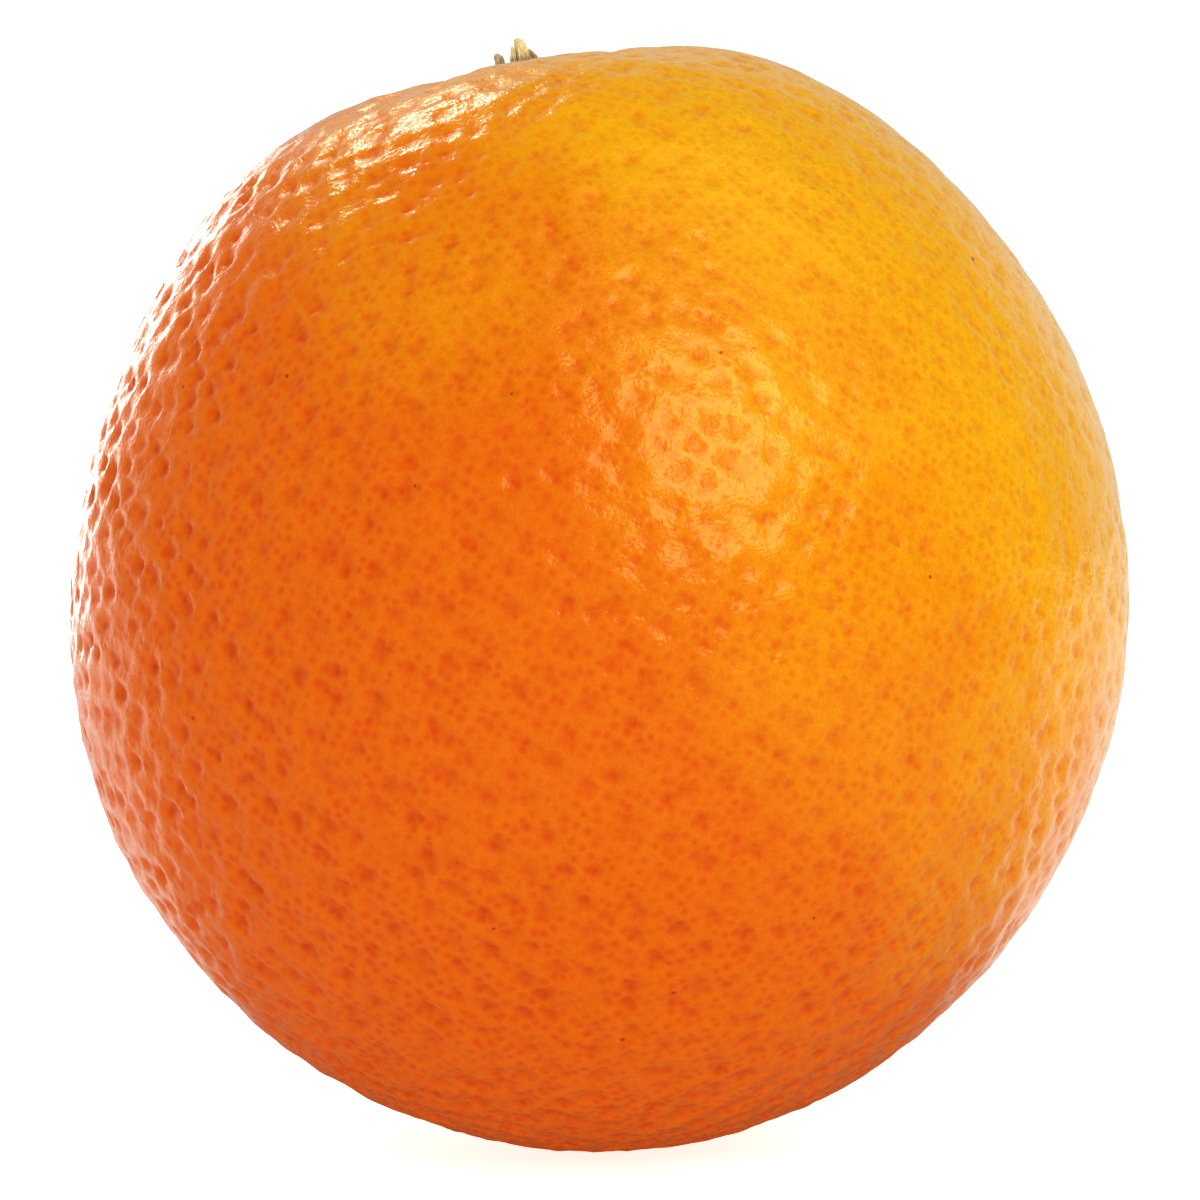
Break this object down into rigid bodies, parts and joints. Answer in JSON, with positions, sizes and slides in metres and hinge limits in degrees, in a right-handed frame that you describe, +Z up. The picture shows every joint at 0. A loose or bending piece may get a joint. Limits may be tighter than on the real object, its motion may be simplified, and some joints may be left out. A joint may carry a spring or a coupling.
{
  "type": "orange",
  "caption": "Whole sweet orange standing on a small flat spot, with a pitted peel, a dried calyx in its stem hollow and a short torn stem stub.",
  "frame": {"origin": "on the surface that the fruit stands on, under the middle of its outline as seen from above", "axes": "+Z up as the fruit stands, -Y towards the front that the picture shows, +X to the right of that view"},
  "size_m": [0.076, 0.0758, 0.0798],
  "materials": {
    "peel": "waxy, semi-gloss, finely pitted",
    "calyx": "dry, matte",
    "stem": "dry, fibrous, matte"
  },
  "bodies": {
    "root": {"fruit": "peel", "calyx": "calyx", "stem_stub": "stem"}
  },
  "joints": []
}
